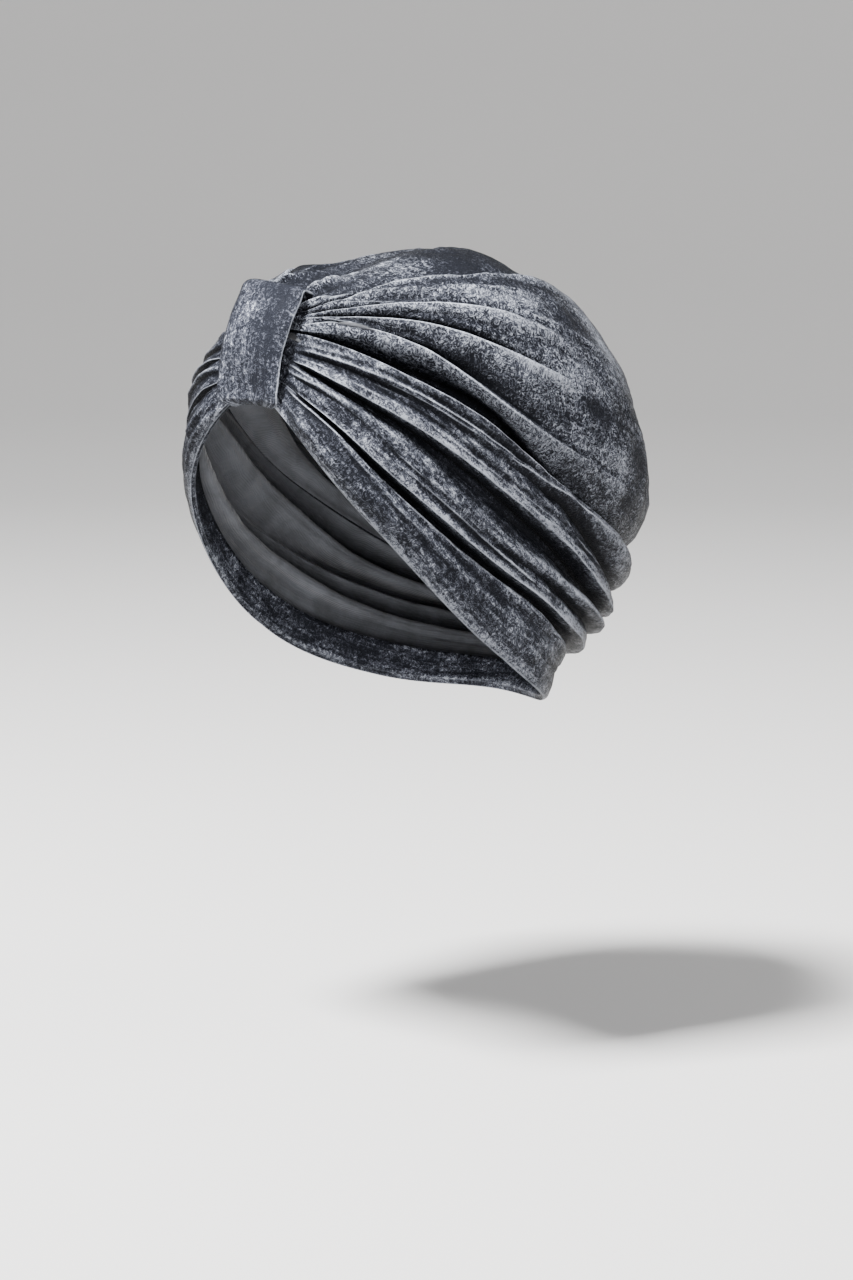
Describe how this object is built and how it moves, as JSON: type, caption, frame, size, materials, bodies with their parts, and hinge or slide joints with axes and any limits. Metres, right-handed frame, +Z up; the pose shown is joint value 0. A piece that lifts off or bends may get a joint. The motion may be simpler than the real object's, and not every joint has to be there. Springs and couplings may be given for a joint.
{
  "type": "turban head wrap",
  "caption": "Pre-tied velvet turban worn over the whole head, with long pleats fanning back from a fabric loop at the centre front, a puffed crown and stacked folds at the nape.",
  "frame": {"origin": "the middle of the head that fills the hollow, on the plane of symmetry, at the height of the ears' tops", "axes": "+Z up along the wearer's head, -Y out through the forehead and the front loop, +X to the wearer's left"},
  "size_m": [0.1902, 0.216, 0.2034],
  "materials": {
    "crown velvet": "crushed stretch velvet, slate grey with a pale sheen on the crests",
    "wrap velvet": "crushed stretch velvet, slate grey with a pale sheen on the crests",
    "loop velvet": "crushed stretch velvet, slate grey, a little darker where it faces forward"
  },
  "bodies": {
    "root": {"crown": "crown velvet", "pleated_wrap": "wrap velvet", "front_loop": "loop velvet"}
  },
  "joints": []
}
